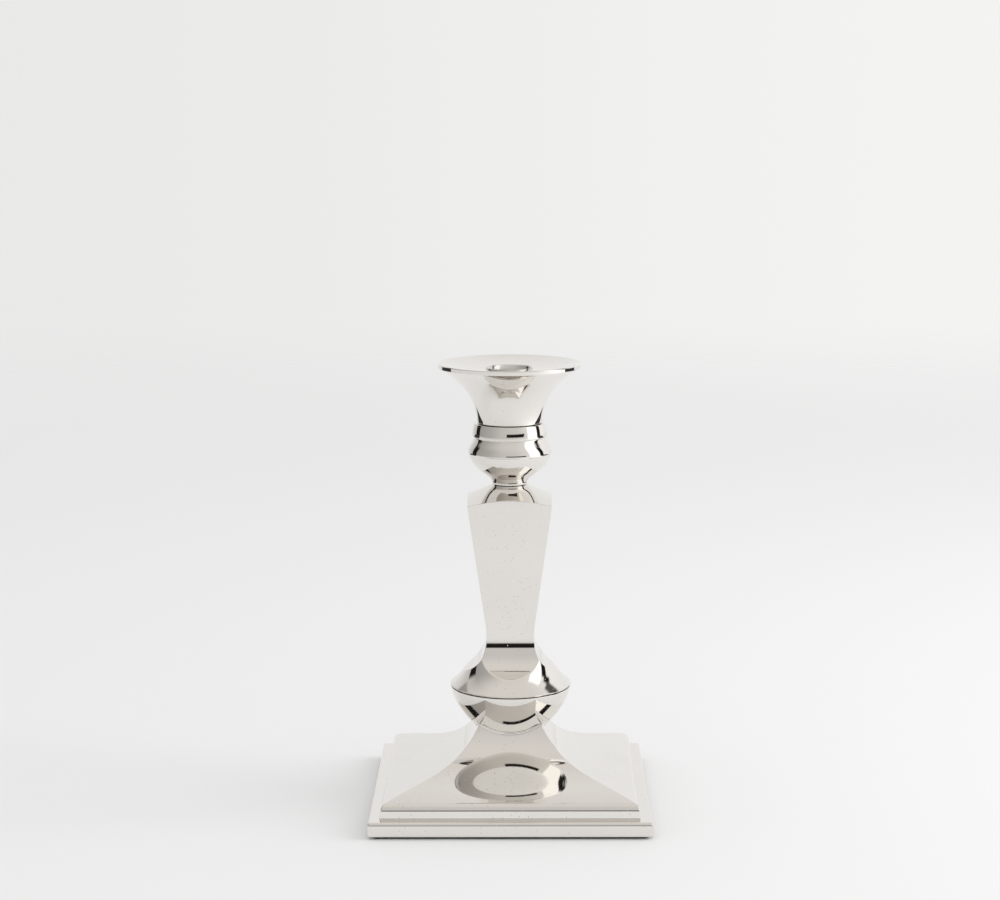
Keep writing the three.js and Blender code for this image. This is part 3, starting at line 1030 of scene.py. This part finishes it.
# %% Table
TABLE_RINGS = (0, 0.3, 1.0, 2.0, 6.0)  # metres
TABLE_COLUMNS = 64
FADE_FROM, FADE_TO = 0.8, 2.6
TABLE_TONE = (0.86, 0.86, 0.86, 1)

rings = np.array([(r, 0) for r in TABLE_RINGS]) / MM
flat = turned(rings, circle(TABLE_COLUMNS)).reshape(-1, 3) * MM
face_up = grid_faces(len(rings), TABLE_COLUMNS)[:, [0, 3, 2, 1]]
table_mesh = bpy.data.meshes.new("table")
table_mesh.from_pydata(flat.tolist(), [], face_up.tolist())
table = put("table", table_mesh)

table_look, tree, shader = new_look("pale_table")
shader["Base Color"].default_value = TABLE_TONE
shader["Roughness"].default_value = 0.9
shader["Specular IOR Level"].default_value = 0.0
place = add(tree, "ShaderNodeTexCoord").outputs["Object"]
distance = add(tree, "ShaderNodeVectorMath", {0: place}, operation="LENGTH").outputs["Value"]
solid = maths(tree, "SUBTRACT", 1.0, smooth_step(tree, distance, FADE_FROM, FADE_TO))
tree.links.new(solid, shader["Alpha"])
table_mesh.materials.append(table_look)
print("table of", len(table_mesh.polygons), "faces, solid up to", FADE_FROM, "m")

# %% [markdown]
# ## Room
# A mirror looks like what stands round it, so most of the work of lighting metal is the room. The
# room here is only a colour for each direction. A real studio would need walls, and they would
# stand in the camera's way. Three kinds of ray see three different rooms. Mirror rays see dim
# warm walls, a bright window and a few black gaps, which draw the dark lines that make metal look
# like metal. Soft rays see one even white, which lights the table from all sides. The camera sees
# a plain backdrop, a little darker on the left than on the right.

# %% Room
BACKDROP_LEFT = (0.82, 0.818, 0.815, 1)
BACKDROP_RIGHT = (0.895, 0.895, 0.89, 1)
BACKDROP_TURN = 0.2  # sideways part of the direction at which the backdrop reaches its end tones
AROUND = (0.885, 0.885, 0.885, 1)  # the light that falls on the table from all sides
OVERHEAD = (0.77, 0.745, 0.715, 1)
OVERHEAD_FROM, OVERHEAD_FULL = 25.0, 72.0  # degrees above the horizon
WARM = (1.0, 0.975, 0.95)  # the walls are a little warmer than the table

world = bpy.data.worlds.new("studio")
bpy.context.scene.world = world
world.use_nodes = True
tree = world.node_tree
tree.nodes.clear()
way = add(tree, "ShaderNodeTexCoord").outputs["Generated"]
part = add(tree, "ShaderNodeSeparateXYZ", {0: way}).outputs
towards_camera = maths(tree, "MULTIPLY", part["Y"], -1.0)
heading = maths(tree, "DEGREES", maths(tree, "ARCTAN2", part["X"], towards_camera))
height = maths(tree, "DEGREES", maths(tree, "ARCSINE", part["Z"]))


def warm(tone):
    """A grey of this tone with the warmth of the walls."""
    return (*(tone * w for w in WARM), 1)


def panel(under, tone, headings, heights, soft, fade):
    """Lays a panel of one tone, between two headings and two heights in degrees, over what is
    there. Its sides are soft degrees wide, and its top and bottom fade over fade degrees. Heading
    0 is behind the camera, positive to its right."""
    mask = 1.0
    for value, (low, high), edge in ((heading, headings, soft), (height, heights, fade)):
        mask = maths(tree, "MULTIPLY", mask, smooth_step(tree, value, low - edge, low + edge))
        past = smooth_step(tree, value, high - edge, high + edge)
        mask = maths(tree, "MULTIPLY", mask, maths(tree, "SUBTRACT", 1.0, past))
    return mix_colours(tree, mask, under, tone)


# %% Walls of the room
FULL_TURN = 360
WALLS = (  # heading in degrees, tone, warmth
    (-180, 0.90, 0), (-155, 0.84, 0), (-134, 0.64, 1), (-120, 0.58, 1), (-100, 0.38, 1),
    (-60, 0.46, 1), (-22, 0.62, 1), (20, 0.68, 1), (48, 0.80, 1), (92, 1.0, 0), (120, 1.0, 0),
    (150, 0.93, 0), (180, 0.90, 0),
)
BLACK = (0.012, 0.011, 0.01, 1)
SMOKE = (0.10, 0.097, 0.093, 1)
DIM = (0.36, 0.34, 0.32, 1)
WINDOW = (1.35, 1.34, 1.33, 1)
PANELS = (  # tone, headings, heights, softness of the sides, fade of the top and bottom
    (WINDOW, (57, 92), (-16, 52), 1.5, 4),
    (BLACK, (-124, -104), (-16, 27), 2, 5),
    (BLACK, (93, 107), (-16, 33), 1.5, 4),
    (BLACK, (100, 116), (29, 42), 3, 4),
    (SMOKE, (109, 134), (38, 51), 3, 3),
    (DIM, (-148, -126), (30, 45), 3, 3),
    (BLACK, (-9, 46), (-2, 7), 1.5, 1.5),
)

walls = add(tree, "ShaderNodeValToRGB", {0: multiply_add(tree, heading, 1 / FULL_TURN, 0.5)})
stops = walls.color_ramp.elements
for at, tone, warmth in WALLS[1:-1]:
    stops.new(at / FULL_TURN + 0.5)
for stop, (at, tone, warmth) in zip(stops, WALLS):
    stop.color = warm(tone) if warmth else (tone, tone, tone, 1)
upwards = smooth_step(tree, height, OVERHEAD_FROM, OVERHEAD_FULL)
room = mix_colours(tree, upwards, walls.outputs[0], OVERHEAD)
for setting in PANELS:
    room = panel(room, *setting)
print(len(stops), "wall tones and", len(PANELS), "panels")

# %% Which ray sees what
ray = add(tree, "ShaderNodeLightPath").outputs
colour = mix_colours(tree, ray["Is Glossy Ray"], AROUND, room)
across = smooth_step(tree, part["X"], -BACKDROP_TURN, BACKDROP_TURN)
backdrop = mix_colours(tree, across, BACKDROP_LEFT, BACKDROP_RIGHT)
colour = mix_colours(tree, ray["Is Camera Ray"], colour, backdrop)
background = add(tree, "ShaderNodeBackground", {"Color": colour, "Strength": 1.0})
add(tree, "ShaderNodeOutputWorld", {"Surface": background.outputs[0]})
print("world:", world.name, "with", len(tree.nodes), "nodes")

# %% [markdown]
# ## Black cards
# In a studio, black card is laid beside polished metal, so that its lower curves get dark edges
# against a pale table. Two flat cards lie just above the table, on the left and on the right
# behind the candlestick. Only mirror rays see them: they throw no shadow and can't be seen
# directly.

# %% Black cards
CARD_HEIGHT = 0.0015
CARD_TONE = (0.01, 0.01, 0.01, 1)
CARDS = {
    "card_left": [(-0.35, 0.52), (-0.90, 0.30), (-2.4, 0.60), (-1.9, 1.45), (-0.62, 0.88)],
    "card_right": [
        (0.34, 0.55), (0.42, 0.49), (0.98, 0.20), (2.5, 0.13), (2.3, 0.78), (1.2, 0.80),
        (0.62, 0.74),
    ],
}

black_card, tree, shader = new_look("black_card")
shader["Base Color"].default_value = CARD_TONE
shader["Roughness"].default_value = 1.0
for name, corners in CARDS.items():
    mesh = bpy.data.meshes.new(name)
    mesh.from_pydata([(x, y, CARD_HEIGHT) for x, y in corners], [], [range(len(corners))])
    mesh.materials.append(black_card)
    card = put(name, mesh)
    card.visible_camera = card.visible_diffuse = card.visible_shadow = False
    print(name, "with", len(corners), "corners")

# %% [markdown]
# ## Window light
# The room's window is only a colour, and colours in the world throw hardly any shadow. A large
# area light on the same side, above and to the right, gives the soft shadow that falls to the
# left. It is hidden from mirror rays and from the camera, because the room already shows a window
# there.

# %% Window light
WINDOW_SIZE = (0.9, 1.2)
WINDOW_POWER = 8.5
WINDOW_HEADING, WINDOW_TILT = 86, 61  # degrees
WINDOW_DISTANCE = 1.6

light_data = bpy.data.lights.new("window", "AREA")
light_data.shape = "RECTANGLE"
light_data.size, light_data.size_y = WINDOW_SIZE
light_data.energy = WINDOW_POWER
light = put("window", light_data)
light.matrix_world = (
    Matrix.Rotation(math.radians(WINDOW_HEADING), 4, "Z")
    @ Matrix.Rotation(math.radians(WINDOW_TILT), 4, "X")
    @ Matrix.Translation((0, 0, WINDOW_DISTANCE))
)
light.visible_glossy = False
light.visible_camera = False
print("window light at", [round(v, 2) for v in light.matrix_world.translation])
